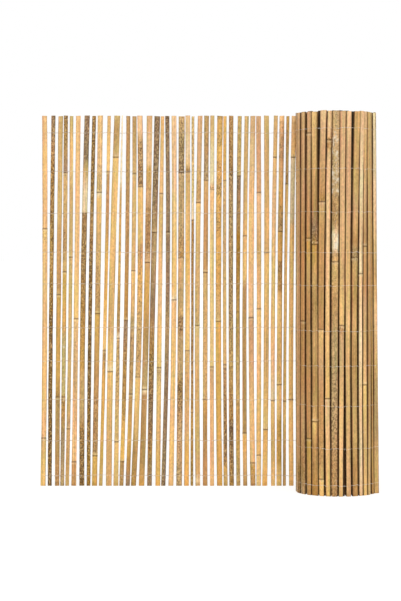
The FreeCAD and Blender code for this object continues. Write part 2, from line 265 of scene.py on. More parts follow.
# What each flat cane looks like from its head to its foot: height in millimetres and tone, then how blotched
# it is there, and how much pale wax it carries.
FLAT_LOOKS = {
    1: "930 peach, 890 gold, 800 peach, 700 peach/.2, 688 gold/.4, 560 peach, 400 peach, 300 gold, "
    "150 peach, 132 peach/.1/.4, 122 tan, 60 gold",
    2: "1000 plum/.5, 905 rust/.6, 860 ochre/.8, 760 umber/.7, 640 ochre/.7, 530 umber/.6, 470 amber/.8, "
    "420 amber/1, 370 rust/.8, 300 amber/.9, 80 amber/.9, 0 brown/.9",
    3: "720 tan, 690 rust, 530 rust/.1, 519 tan/.2, 510 ochre, 300 ochre, 245 umber/.2, 235 brown/.2, "
    "100 brown, 0 brown/.3",
    4: "1000 umber/.7, 960 umber/.6, 900 brown/.3, 850 plum/.3, 838 tan/.3, 760 tan/.2, 650 brown/.5, "
    "584 tan, 570 ochre, 430 ochre/.2, 400 green/.3/.4, 250 green/.3/.4, 238 umber/.5, 190 umber/.4, "
    "120 plum/.2, 0 grey/.3",
    5: "1000 green, 900 gold, 850 straw, 800 olive, 625 olive, 612 tan/.2, 500 olive, 380 olive, "
    "200 olive/.2, 162 grey/.2, 150 tan, 60 brown, 0 tan",
    6: "600 peach, 530 gold, 455 gold, 445 peach/.3, 300 pink/.2, 150 peach/.2, 70 peach, 60 rust, "
    "0 rust/.2",
    7: "885 plum/.5, 870 grey, 850 tan, 800 cream, 744 cream, 730 brown/.6, 600 brown/.7, 480 umber/.5, "
    "320 ochre/.2, 300 tan/.2, 180 grey/.2, 150 umber/.8, 0 umber/.9",
    8: "1000 umber/.7, 800 umber/.8, 700 brown/.6, 600 umber/.9, 500 amber/.9, 240 amber/1, 220 amber/.9, "
    "100 amber/.7, 0 amber/.5",
    9: "1000 peach, 960 peach/.1, 890 peach/.2, 860 peach/.4, 800 tan/.4, 788 cream, 775 gold, 660 tan, "
    "610 tan/.3, 520 rust/.5, 480 rust/.5, 474 brown, 460 ochre, 300 brown, 240 rust/.5, 90 brown/.5, "
    "78 honey, 0 ochre",
    10: "1000 tan, 900 gold, 853 gold, 842 brown/.3, 740 rust/.1, 640 ochre, 600 honey, 540 ochre, "
    "500 honey, 370 gold, 358 umber/.5, 330 umber/.2, 300 ochre, 80 ochre, 0 tan",
    11: "1000 olive, 960 brown/.1, 900 olive, 895 pink/0/.5, 882 gold, 650 gold, 500 tan, 420 tan, "
    "330 gold, 316 cream, 306 gold, 150 tan",
    12: "1000 cream/0/.8, 820 cream/.1/.8, 790 tan/.1/.5, 740 ochre, 660 ochre/.3, 580 ochre/.3, "
    "500 umber/.2, 420 brown/.4/.5, 402 cream/.2/.6, 390 gold/.7, 300 tan/.5, 130 tan/.3, 110 gold, 0 tan",
    13: "1000 brown/.1, 800 brown/.3, 640 brown/.1, 520 umber, 452 umber/.2, 440 plum/.4, 320 umber/.4, "
    "240 umber/.4, 180 ochre/.4, 150 honey, 72 honey, 60 brown/.3",
    14: "1000 brown, 850 tan/.2, 838 tan, 586 tan, 572 gold, 470 tan/.2, 440 grey/.3, 300 brown/.3, "
    "252 grey/.3, 240 brown, 120 ochre, 60 umber, 0 plum/.2",
    15: "945 shell, 930 rust/.6, 815 rust/.8, 800 gold, 670 gold, 640 rust/.4, 560 honey/.5, 440 tan/.5, "
    "300 tan/.4, 286 gold, 150 tan, 100 brown, 0 umber/.3",
    16: "1000 pink, 890 shell, 865 shell, 855 ochre/.1, 770 pink/.3, 740 brown/.4, 640 brown/.5, "
    "612 pink/.3, 598 tan, 560 ochre, 520 ochre, 400 brown, 270 grey/.2, 256 cream, 245 brown, 60 brown, "
    "0 ochre",
    17: "800 plum/.6, 700 grey/.2, 600 grey/.2, 500 plum/.1, 400 brown/.3, 340 umber/.7, 200 plum/.7, "
    "100 umber/.6, 0 plum/.3",
    18: "1000 gold, 794 peach, 782 tan, 680 tan, 600 peach, 500 shell, 450 gold, 324 gold, 312 pink/.4, "
    "250 gold/.1, 120 tan, 0 honey",
    19: "1000 plum/.7, 850 plum/.3, 692 plum/.3, 680 plum/.2, 500 plum/.3, 420 grey/.1, 300 plum/.2, "
    "150 plum/.3, 0 plum/.5",
    20: "800 shell, 780 straw, 640 gold, 520 gold, 507 cream, 495 peach, 360 gold, 200 peach, 100 gold, "
    "0 peach",
    21: "1000 tan/.4, 960 grey/.5, 940 olive/.8, 850 grey/.8, 838 grey/.4/.3, 700 grey/.4, 620 umber/.6, "
    "608 tan/.2, 520 grey/.1/.3, 465 tan/.2, 455 brown/.8, 420 brown/.7, 400 grey/.2/.3, 300 grey/.3, "
    "280 umber/.8, 230 brown/.7, 150 pink/.4, 0 grey/.5",
    22: "1000 shell, 900 cream, 865 straw, 852 umber/.6, 840 tan/.1, 700 gold, 640 honey, 500 gold/.1, "
    "370 gold, 358 tan/.2, 250 tan/.1, 150 peach, 100 honey",
    23: "780 straw/.5, 765 cream, 724 cream, 712 umber/.5, 300 umber/.6, 205 umber/.4, 193 ochre/.6, "
    "100 umber/.4",
    24: "1000 pink/.2, 870 pink, 850 tan/.3, 772 brown/.3, 760 gold, 650 tan, 540 tan/.2, 440 tan/.2, "
    "428 straw, 300 tan, 200 olive, 100 olive, 28 tan, 20 cream, 0 tan",
    25: "900 brown/.3, 870 grey/.6, 832 grey/.6, 820 tan, 720 rust, 584 rust, 572 tan, 500 tan, "
    "480 tan/.3, 240 tan/.3, 228 ochre/.2, 150 brown",
    26: "1000 tan, 940 straw, 900 cream, 820 cream, 805 peach/.7, 793 peach, 650 straw, 326 straw, "
    "314 pink/.2, 200 peach, 100 pink, 0 peach",
    27: "1000 umber/.4, 975 honey/.2, 960 ochre/.3, 935 ochre/.6, 905 honey/.2, 880 honey/.2, "
    "865 ochre/.8, 845 honey/.3, 800 ochre/.8, 770 honey/.3, 700 ochre/.6, 660 honey, 600 ochre/.3, "
    "520 ochre/.3, 500 tan/.3, 452 tan/.3, 438 honey, 200 ochre",
    28: "1000 honey, 850 ochre/.1, 828 honey, 816 tan/.3, 650 grey/.2, 520 tan/.2, 500 tan, 332 tan, "
    "320 brown/.5, 250 brown/.6, 150 umber/.8, 70 brown/.7, 50 ochre/.4, 0 tan",
    29: "1000 rust/.4, 845 brown/.7, 833 grey/.6, 500 grey/.6, 350 olive/.5, 180 umber/.5, 168 plum/.8, "
    "80 brown/.8, 0 umber/.5",
    30: "842 olive/.3, 830 plum/.4, 700 brown/.3, 680 amber/.2, 500 umber/.3, 300 olive/.3, 120 ochre/.3, "
    "0 tan/.3",
    31: "1000 olive, 800 tan, 680 gold, 560 gold, 540 brown, 148 brown, 136 honey, 60 tan, 0 brown",
    32: "1000 pink, 900 shell, 800 peach, 600 peach, 460 shell, 447 pink/.1, 380 pink, 200 peach, "
    "66 peach, 55 ochre/.4, 0 brown/.3",
    33: "796 pink, 784 shell, 640 tan, 484 peach, 470 gold, 300 peach, 200 gold, 88 gold, 76 straw",
    34: "870 olive, 850 tan, 700 gold, 638 tan, 625 gold, 500 gold, 350 tan, 200 gold, 158 straw, "
    "146 honey, 60 gold, 0 honey",
    35: "1000 tan, 950 peach, 893 gold, 882 blond, 760 shell, 600 blond, 450 blond, 300 shell, 238 cream, "
    "226 blond, 130 gold, 0 blond",
    36: "1000 peach/.3, 900 pink/.4, 882 rust/.6, 870 peach, 780 honey/.3, 700 tan/.6, 682 honey/.1, "
    "612 honey/.2, 600 brown/.4, 524 ochre/.3, 512 blond, 440 blond, 420 gold/.1, 282 gold/.1, 268 blond, "
    "190 blond, 175 ochre/.2, 60 ochre/.1, 48 gold",
    37: "1000 ochre/.3, 860 tan/.3, 830 brown/.5, 808 blond, 500 blond, 350 gold, 300 gold/.1, "
    "234 gold/.1, 222 blond, 110 gold, 100 tan",
    38: "1000 pink, 893 blond, 882 cream, 720 cream, 700 blond, 350 blond, 240 gold, 228 blond, "
    "100 blond, 0 gold",
    39: "566 tan, 554 gold",
    40: "726 brown/.3, 714 tan/.2, 0 brown/.4",
    41: "416 olive, 404 gold, 0 tan",
    42: "836 gold, 824 peach, 526 peach, 514 tan",
    43: "1000 brown/.4, 256 brown/.3, 244 grey/.3, 0 brown/.3",
}

# The rolled canes that face the front, by their number along the mat from the roll's tangent
ROLLED_LOOKS = {
    12: "1000 tan, 400 brown, 0 tan",
    13: "860 cream, 700 shell, 560 tan, 450 shell, 330 tan, 280 grey, 150 grey, 60 tan",
    14: "1000 umber",
    15: "700 tan, 500 rust, 300 brown, 150 tan, 0 peach",
    16: "1000 shell, 890 tan, 760 pink, 654 brown, 642 tan, 600 rust, 540 rust, 500 pink, 413 tan, "
    "294 peach, 282 gold, 150 tan, 0 gold",
    17: "1000 shell, 800 cream, 700 shell, 582 cream, 568 shell, 400 cream, 250 shell, 100 cream, 0 shell",
    18: "800 tan, 760 pink, 700 tan, 660 brown, 632 grey/.5, 613 grey/.3, 600 tan, 520 brown, 450 tan, "
    "350 brown, 250 olive, 150 tan, 80 brown",
    19: "1000 shell, 900 pink, 750 pink, 600 tan, 520 tan, 450 peach, 400 tan, 200 tan, 0 pink",
    20: "750 pink, 560 tan, 510 gold, 447 gold, 434 rust/.5, 400 pink/.1, 260 tan, 120 peach, 0 tan",
    21: "1000 grey/.3, 930 pink/.4/.4, 880 grey/.4/.7, 790 grey/.4/.7, 760 brown/.5/.2, 700 brown/.4/.3, "
    "680 cream/.3/.7, 640 cream/.3/.7, 622 umber/.5/.1, 612 tan/.2/.2, 600 tan/.4, 500 brown/.3, "
    "400 grey/.3/.2, 200 grey/.6/.1, 80 brown/.5/.2",
    22: "936 shell, 926 rust/.6, 905 rust/.4, 890 shell, 700 shell, 420 peach, 260 gold, 246 shell, "
    "120 peach, 0 gold",
    23: "1000 shell, 900 pink, 790 rust/.2, 770 umber/.3, 755 pink, 740 tan, 700 rust, 620 rust, "
    "510 brown, 437 rust, 425 gold, 330 pink, 250 rust, 100 brown/.3, 50 tan, 38 gold",
    24: "1000 peach, 850 tan, 750 brown, 690 plum/.5, 660 umber/.5, 646 ochre, 560 tan, 500 brown/.2, "
    "400 tan, 300 brown, 200 tan, 187 gold, 130 brown, 90 brown/.2, 0 umber",
    25: "900 pink, 674 rust, 660 ochre, 580 tan, 500 rust, 413 brown, 300 rust, 152 rust, 140 ochre, "
    "0 brown",
    26: "800 pink, 700 rust, 458 rust, 445 brown/.1, 300 rust, 200 pink, 60 brown/.4, 0 grey/.2",
    27: "1000 shell, 800 pink, 500 pink/.1, 90 pink, 70 umber/.6, 0 brown/.6",
    28: "1000 pink/.1, 700 shell, 400 shell, 0 pink/.1",
}
ROLLED_RINGS = {
    16: (648, 288),
    17: (575,),
    18: (617,),
    20: (441,),
    21: (606,),
    22: (922, 252),
    23: (762, 431, 43),
    24: (653, 193),
    25: (941, 667, 146),
    26: (451,),
}

# How far the foot and the head of a rolled cane stand further along the mat than its middle, then its width
# at the foot and at the head, in millimetres
ROLLED_STANCES = {
    13: (0.0, 0.0, 15.0, 9.0),
    15: (5.5, -2.9, 10.2, 14.7),
    16: (1.2, -6.0, 13.7, 10.3),
    17: (1.2, -9.0, 9.5, 12.5),
    18: (-0.8, -11.5, 15.2, 18.0),
    19: (-0.2, -5.5, 11.6, 13.7),
    20: (4.8, -4.5, 10.3, 15.0),
    21: (2.6, -4.8, 14.5, 19.0),
    22: (-0.5, -7.0, 13.0, 12.5),
    23: (-0.7, -7.4, 13.0, 17.0),
    24: (0.0, 0.0, 18.7, 16.5),
    25: (-1.4, -3.6, 14.0, 15.5),
    26: (0.0, -3.5, 20.0, 16.0),
}

# How far the foot and the head of a loose rolled cane stand out from the roll in millimetres, and how far it
# is turned to the front in degrees
ROLLED_LEANS = {
    13: (1.5, 0.4, 45),
    14: (-1.8, -1.8, 0),
}


def swatch(name, description, default):
    """A colour that a user may change."""
    return FloatVectorProperty(
        name=name, description=description, default=default, subtype="COLOR_GAMMA", min=0, max=1
    )


def setting(name, description, default, **limits):
    """A number that a user may change."""
    return FloatProperty(name=name, description=description, default=default, **limits)


class BambooTones(bpy.types.PropertyGroup):
    """Tones of weathered split bamboo, as they look in plain light, and the painted shade of the gaps and
    edges.
    """

    peach: swatch("Peach", "Fresh skin, warm and light", (0.91, 0.74, 0.54))
    pink: swatch("Pink", "Skin that has dried with a pinkish cast", (0.81, 0.65, 0.49))
    gold: swatch("Gold", "Ripe golden skin", (0.91, 0.76, 0.50))
    straw: swatch("Straw", "Pale straw-coloured skin", (0.90, 0.78, 0.56))
    blond: swatch("Blond", "Bright skin without marks", (0.96, 0.81, 0.56))
    honey: swatch("Honey", "Glossy orange-yellow skin", (0.90, 0.71, 0.40))
    ochre: swatch("Ochre", "Dull yellow-brown skin", (0.81, 0.64, 0.35))
    tan: swatch("Tan", "Dry tan skin", (0.81, 0.67, 0.455))
    brown: swatch("Brown", "Weathered brown skin", (0.70, 0.55, 0.35))
    rust: swatch("Rust", "Reddish brown skin", (0.76, 0.58, 0.38))
    umber: swatch("Umber", "Dark brown inner face", (0.69, 0.53, 0.27))
    amber: swatch("Amber", "Deep orange-brown skin", (0.68, 0.50, 0.12))
    plum: swatch("Plum", "Dark grey-brown with a purple cast", (0.58, 0.475, 0.385))
    grey: swatch("Grey", "Grey-brown weathered skin", (0.71, 0.60, 0.435))
    olive: swatch("Olive", "Olive tan skin", (0.78, 0.67, 0.445))
    green: swatch("Green", "Skin with a rest of its green", (0.72, 0.66, 0.43))
    cream: swatch("Cream", "Bare pale fibres", (0.91, 0.84, 0.70))
    fibre: swatch("Fibre", "Split face of the culm wall", (0.84, 0.71, 0.50))
    blotch: swatch("Blotch", "Mould spots and sooty patches", (0.31, 0.21, 0.10))
    # Painted shade: a near-black tone that stands for the shade deep in the roll and in the gaps between
    # canes, laid on the inner turns and the split sides
    gap_shade: swatch("Soot", "Dirt between the turns of the roll", (0.07, 0.045, 0.03))
    crack: swatch("Crack", "Reddish shade along the edges of the rolled canes", (0.38, 0.22, 0.12))
    shell: swatch("Shell", "Pale skin with a pinkish cast", (0.91, 0.76, 0.60))
    wax: swatch("Wax", "Whitish wax and lichen", (0.90, 0.87, 0.78))
    rolled_lightness: setting("Rolled lightness", "How much paler the rolled canes are", 1.08, min=0)
    zinc: swatch("Zinc", "Dull galvanised wire", (0.90, 0.89, 0.87))


class CaneSizes(bpy.types.PropertyGroup):
    """Sizes of a split cane that the frame doesn't give, in millimetres."""

    thickness: setting("Wall", "Thickness of the split culm wall", 6.0, min=1)
    culm_radius: setting("Culm radius", "Radius of the culm that the cane was split from", 24.0, min=10)
    draft: setting("Draft", "How far each split side leans in", 0.7, min=0)
    hollow: setting("Hollow", "Depth of the hollow in the inner face", 0.45, min=0)
    arris: setting("Arris", "How far the skin's sharp edges are worn down", 0.3, min=0)
    ring_pitch: setting("Mesh step", "Distance between two rings of the mesh", 16.0, min=4)
    waviness: setting("Waviness", "How far a split edge wanders", 0.55, min=0)
    scar: setting("Scar", "Height of the leaf scar", 0.35, min=0)
    ridge: setting("Ridge", "Height of the swelling above the leaf scar", 0.45, min=0)
    groove: setting("Groove", "Depth of the groove under the leaf scar", 0.3, min=0)
    cut_slant: setting("Cut slant", "How far out of square a sawn end is", 1.2, min=0)
    cut_chamfer: setting("Cut chamfer", "Wear at the sawn ends", 0.35, min=0)
    twist: setting("Twist", "Largest turn of a cane along its length", 0.035, subtype="ANGLE")


class WireSizes(bpy.types.PropertyGroup):
    """Sizes of the binding wire, in millimetres."""

    gauge: setting("Gauge", "Thickness of one strand", 0.65, min=0.3)
    clearance: setting("Clearance", "Gap between a strand and the cane", 0.08, min=0)
    slope: setting("Slope", "How far a strand climbs across a cane", 3.5, min=0)
    stray: setting("Stray", "How far a strand strays from its row at a cane", 1.4, min=0)
    wide_gap: setting("Wide gap", "Gap from which the strands are twisted three times", 7.0, min=1)
    sides: IntProperty(name="Sides", description="Sides of the strand's mesh", default=5, min=3)


class StudioSettings(bpy.types.PropertyGroup):
    """The camera and the lamps."""

    camera_place: FloatVectorProperty(
        name="Camera",
        description="Where the camera stands",
        default=(-0.019, -4.967, 0.656),
        subtype="TRANSLATION",
        unit="LENGTH",
    )
    lens: setting("Lens", "Focal length in millimetres", 112.6)
    drop: setting("Drop", "Vertical shift of the lens", -0.096)
    sky: setting("Sky", "Strength of the even light all round", 0.55)
    key: setting("Key", "Strength of the main lamp", 1.11)
    fill: setting("Fill", "Strength of the second lamp", 0.68)
    back: setting("Back", "Strength of the lamp behind the panel", 0.6)
    key_softness: setting("Softness", "Width of the main lamp", 0.35, subtype="ANGLE")


PROPERTY_GROUPS = {
    "bamboo_tones": BambooTones,
    "cane_sizes": CaneSizes,
    "wire_sizes": WireSizes,
    "studio_settings": StudioSettings,
}


def tone(name):
    """A named tone as linear colour."""
    return Color(getattr(bpy.context.scene.bamboo_tones, name)).from_srgb_to_scene_linear()


def smooth(share):
    """A step from 0 to 1 with soft ends."""
    held = min(max(share, 0.0), 1.0)
    return held * held * (3 - 2 * held)


def beyond(start, across):
    """A soft step from 0 at a place across a cane to 1 at its edge."""
    return smooth((abs(across) - start) / (1 - start))


def hump(distance, form):
    """A bell curve of height 1 for one form of a leaf joint, at a distance above the joint in millimetres."""
    place, width = JOINT_FORMS[form]
    return math.exp(-(((distance - place) / width) ** 2))


# Looks


def read_look(text):
    """The stops of a look, from the foot up: height, colour, blotches and wax."""
    stops = []
    for stop in text.split(","):
        height, finish = stop.split()
        name, *marks = finish.split("/")
        marks = [float(mark) for mark in marks] + [0.0, 0.0]
        stops.append((float(height) * MILLIMETRE, tone(name), marks[0], marks[1]))
    return sorted(stops, key=lambda stop: stop[0])


def mixed(first, second, share):
    """A blend of two colours."""
    return Color([a + (b - a) * share for a, b in zip(first, second)])


def look_at(stops, height):
    """Colour, blotches and wax at a height, blended between the stops below and above."""
    above = next((number for number, stop in enumerate(stops) if stop[0] > height), len(stops))
    low, high = stops[max(above - 1, 0)], stops[min(above, len(stops) - 1)]
    share = (height - low[0]) / (high[0] - low[0]) if high[0] > low[0] else 0.0
    colour = mixed(low[1], high[1], share)
    return colour, low[2] + (high[2] - low[2]) * share, low[3] + (high[3] - low[3]) * share


def random_look(draw, rings, tones):
    """A look for a cane that the front view hides: one tone between two rings, a step at each ring."""
    heights = [PANEL_HEIGHT / MILLIMETRE, *rings, 0]
    stops = []
    for upper, lower in zip(heights, heights[1:]):
        first, second = draw.choice(tones), draw.choice(tones)
        blotches = round(draw.random() ** 3 * MOST_BLOTCHES, 2)
        stops.append(f"{upper - JOINT_STEP_REACH:.0f} {first}/{blotches}")
        stops.append(f"{lower + JOINT_STEP_REACH:.0f} {second}/{blotches}")
    return ", ".join(stops)


class Cane:
    """One split cane: where its middle runs, how wide it is, which way it faces, its rings and its look."""

    def __init__(self, number, places, widths, facing, skin_seen, rings, length, look, mat_front):
        self.number = number
        self.foot, self.middle, self.head = places
        self.foot_width, self.head_width = widths
        self.front = facing
        self.along = UP.cross(facing) if mat_front else facing.cross(UP)
        self.skin_seen = skin_seen
        self.rings = rings
        self.length = length
        self.look = read_look(look)
        self.mat_front = mat_front
        draw = random.Random(number)
        self.ring_way = draw.choice((-1, 1))
        self.turn = draw.uniform(-1, 1)
        self.slants = draw.uniform(-1, 1), draw.uniform(-1, 1)
        self.side_tones = [tone(draw.choice(SIDE_TONES)) for _ in range(2)]
        self.side_shares = [draw.uniform(0.0, SIDE_TONE_MOST) for _ in range(2)]
        self.back_tone = tone(draw.choice(BACK_INNER_TONES if skin_seen else BACK_SKIN_TONES))

    def centre(self, height):
        """Middle of the cane at a height: a smooth bow through its foot, middle and head."""
        share = height / PANEL_HEIGHT
        return (
            self.foot * ((1 - share) * (1 - 2 * share))
            + self.middle * (4 * share * (1 - share))
            + self.head * (share * (2 * share - 1))
        )

    def swelling(self, height, sizes):
        """How far the rings lift the skin, swell the edges and stand on the inner face, in millimetres."""
        skin = edge = inner = 0.0
        for ring in self.rings:
            distance = (height - ring) / MILLIMETRE * self.ring_way
            if abs(distance) > JOINT_REACH:
                continue
            clear = min(abs(ring - wire) for wire in WIRE_HEIGHTS) / MILLIMETRE
            free = smooth((clear - WIRE_NEAR) / WIRE_EASE)
            skin += free * sizes.ridge * hump(distance, "ridge")
            skin += free * sizes.scar * hump(distance, "scar")
            skin -= sizes.groove * hump(distance, "groove")
            edge += EDGE_RIDGE_SHARE * sizes.ridge * hump(distance, "edge ridge")
            edge += EDGE_SCAR_SHARE * sizes.scar * hump(distance, "edge scar")
            inner += free * INNER_WALL_RISE * hump(distance, "inner wall")
        return skin, edge, inner

    def mark(self, form, height):
        """How strong one mark of the leaf joints is at a height."""
        return min(sum(hump((height - ring) / MILLIMETRE * self.ring_way, form) for ring in self.rings), 1.0)

    def slice_at(self, height, sizes):
        """What the cross-section at a height needs: its middle, half width, edges, swelling and turn."""
        skin, edge, inner = self.swelling(height, sizes)
        share = height / PANEL_HEIGHT
        half = (self.foot_width + (self.head_width - self.foot_width) * share) / 2 + edge
        seed = self.number * CANE_STEP
        ripple = RIPPLE_SHARE * sizes.waviness
        wander = [
            sizes.waviness * noise.noise(Vector((seed + side, WANDER_LANE, height * WANDER_RATE)))
            + ripple * noise.noise(Vector((seed + side, RIPPLE_LANE, height * RIPPLE_RATE)))
            for side in (0, SIDE_STEP)
        ]
        angle = sizes.twist * noise.noise(Vector((seed, TWIST_LANE, height * TWIST_RATE))) * self.turn
        return self.centre(height), half, wander, (skin, inner), angle

    def depth(self, across, half, swell, skin, sizes):
        """Distance of the skin or the inner face from the cane's mid-plane, in millimetres."""
        if not skin:
            wall = swell[1] * (1 - abs(across) / 2)
            return sizes.thickness / 2 - sizes.hollow * (1 - across * across) + wall
        reach = across * half
        crown = sizes.culm_radius - math.sqrt(sizes.culm_radius**2 - reach**2)
        worn = sizes.arris * beyond(WEAR_START, across)
        return sizes.thickness / 2 - crown - worn + swell[0]

    def spot(self, cut, across, depth, height):
        """A point of the cane: a place across its front from -1 to 1, and a depth towards the viewer."""
        centre, half, wander, _, angle = cut
        sideways = across * half + (wander[1] if across > 0 else wander[0]) * abs(across)
        turned = sideways * math.cos(angle) - depth * math.sin(angle)
        toward = sideways * math.sin(angle) + depth * math.cos(angle)
        return centre + (self.along * turned + self.front * toward) * MILLIMETRE + UP * height

    def on_face(self, across, mat_front, height, lift, sizes):
        """A point over one of the mat's two faces, a lift above the cane's surface, in millimetres."""
        cut = self.slice_at(height, sizes)
        toward_viewer = mat_front == self.mat_front
        skin = toward_viewer == self.skin_seen
        depth = self.depth(across, cut[1], cut[3], skin, sizes) + lift
        return self.spot(cut, across, depth if toward_viewer else -depth, height)


def ring_heights(cane, sizes, step):
    """Heights of a cane's mesh rings: even steps, close together at the leaf joints and the sawn ends."""
    count = max(round(cane.length / (step * MILLIMETRE)), 1)
    heights = [cane.length * number / count for number in range(1, count)]
    reach = (RING_STEPS[-1] + RING_CLEARANCE) * MILLIMETRE
    for ring in cane.rings:
        heights = [height for height in heights if abs(height - ring) > reach]
    for ring in cane.rings:
        heights += [ring + offset * MILLIMETRE for offset in RING_STEPS]
    chamfer = sizes.cut_chamfer * MILLIMETRE
    clear = END_CLEARANCE * chamfer
    inside = [height for height in heights if clear < height < cane.length - clear]
    return [0.0, chamfer, *sorted(inside), cane.length - chamfer, cane.length]


# Mesh tools


def sleeve(mesh, rings, sides):
    """A closed tube of rings of vertices, returned as a table of vertices by ring and side."""
    before = len(mesh.verts)
    base = bmesh.ops.create_circle(mesh, cap_ends=True, segments=sides, radius=1.0)
    foot = base["verts"][0].link_faces[0]
    begin = math.atan2(base["verts"][0].co.y, base["verts"][0].co.x)
    raised = bmesh.ops.extrude_face_region(mesh, geom=[foot], use_keep_orig=True)
    lifted = [part for part in raised["geom"] if isinstance(part, bmesh.types.BMVert)]
    bmesh.ops.translate(mesh, verts=lifted, vec=UP)
    posts = [edge for vertex in lifted for edge in vertex.link_edges if edge.other_vert(vertex).co.z < 0.5]
    if rings > 2:
        bmesh.ops.subdivide_edges(mesh, edges=posts, cuts=rings - 2, use_grid_fill=True)
    mesh.verts.ensure_lookup_table()
    table = [[None] * sides for _ in range(rings)]
    for vertex in mesh.verts[before:]:
        ring = round(vertex.co.z * (rings - 1))
        side = round((math.atan2(vertex.co.y, vertex.co.x) - begin) / math.tau * sides) % sides
        table[ring][side] = vertex
    return table


def unfold(mesh, table, heights, shares, cell, folds, cap_share):
    """Lays a tube out in its cell of the map: its length folded into columns, its ends in a strip on top."""
    layer = mesh.loops.layers.uv["OFBake"]
    left, bottom, width, height = cell
    rings, sides = len(table), len(table[0])
    place = {vertex: (ring, side) for ring, row in enumerate(table) for side, vertex in enumerate(row)}
    bounds = [round((rings - 1) * fold / folds) for fold in range(folds + 1)]
    column = width / folds
    body = height * (1 - cap_share)
    faces = {face for vertex in place for face in vertex.link_faces}
    for face in faces:
        spots = [place[loop.vert] for loop in face.loops]
        if len({ring for ring, _ in spots}) == 1:
            end_left = END_LEFT["head" if spots[0][0] > 0 else "foot"]
            xs = [loop.vert.co.x for loop in face.loops]
            ys = [loop.vert.co.y for loop in face.loops]
            reach = max(max(xs) - min(xs), max(ys) - min(ys))
            for loop in face.loops:
                u = (loop.vert.co.x - min(xs)) / reach * END_WIDTH + end_left
                v = (loop.vert.co.y - min(ys)) / reach * END_HEIGHT + END_MARGIN
                loop[layer].uv = (left + u * width, bottom + body + v * height * cap_share)
            continue
        low = min(ring for ring, _ in spots)
        fold = max(number for number in range(folds) if bounds[number] <= low)
        start, end = heights[bounds[fold]], heights[bounds[fold + 1]]
        wraps = {side for _, side in spots} == {0, sides - 1}
        for loop, (ring, side) in zip(face.loops, spots):
            across = 1.0 if wraps and side == 0 else shares[side]
            up = (heights[ring] - start) / (end - start)
            u = left + (fold + COLUMN_MARGIN + (1 - 2 * COLUMN_MARGIN) * across) * column
            v = bottom + (COLUMN_MARGIN + (1 - 2 * COLUMN_MARGIN) * up) * body
            loop[layer].uv = (u, v)


def section_shares(section, half, sizes):
    """How far round the cross-section each of its points is, from 0 to 1."""
    points = []
    level = sizes.thickness / 2
    for face, across, share in section:
        depth = {"skin": level, "inner": -level, "side": (level - CROWN_DROP) * (1 - 2 * share)}
        points.append(Vector((across * half, depth[face], 0)))
    lengths = [(after - point).length for point, after in zip(points, points[1:] + points[:1])]
    return [sum(lengths[:number]) / sum(lengths) for number in range(len(lengths))]


def side_noise(cane, side, height, steps):
    """Noise along one side of a cane."""
    return noise.noise(Vector((cane.number * steps[0], side * steps[1], height * steps[2])))


def painted(cane, section, face, across, height, seen, line, band):
    """The colour of a point of a cane's cross-section, from the tone that the cane has at its height, with
    painted shade on the split sides and along the edges.
    """
    is_front = face == ("skin" if cane.skin_seen else "inner")
    own = seen if is_front or face == "side" else mixed(seen, cane.back_tone, BACK_SHARE)
    if section is SECTION and not cane.mat_front:
        own = own * bpy.context.scene.bamboo_tones.rolled_lightness
    # Painted shade on the split sides: darkened towards the gap shade, much more on a rolled cane
    if face == "side":
        own = mixed(own, tone("gap_shade"), FLAT_SIDE_SHADE if cane.mat_front else ROLLED_SIDE_SHADE)
    side = 1 if across > 0 else 0
    drift = 0.5 + 0.5 * side_noise(cane, side, height, SIDE_TONE_STEPS)
    strength = cane.side_shares[side] * beyond(SIDE_TONE_START, across) * drift
    own = mixed(own, cane.side_tones[side], strength)
    # Painted shade along both edges, in the reddish crack tone, waxing and waning along the cane
    edge_shade_amount = smooth(EDGE_SHADE_LEVEL + EDGE_SHADE_LEVEL * side_noise(cane, side, height, EDGE_SHADE_STEPS))
    edge_shade = FLAT_EDGE_SHADE if cane.mat_front else ROLLED_EDGE_SHADE
    own = mixed(own, tone("crack"), edge_shade * beyond(EDGE_SHADE_START, across) * edge_shade_amount)
    own = mixed(own, tone("blotch"), DARK_LINE_SHARE * line)
    return mixed(own, tone("cream"), PALE_BAND_SHARE * band)


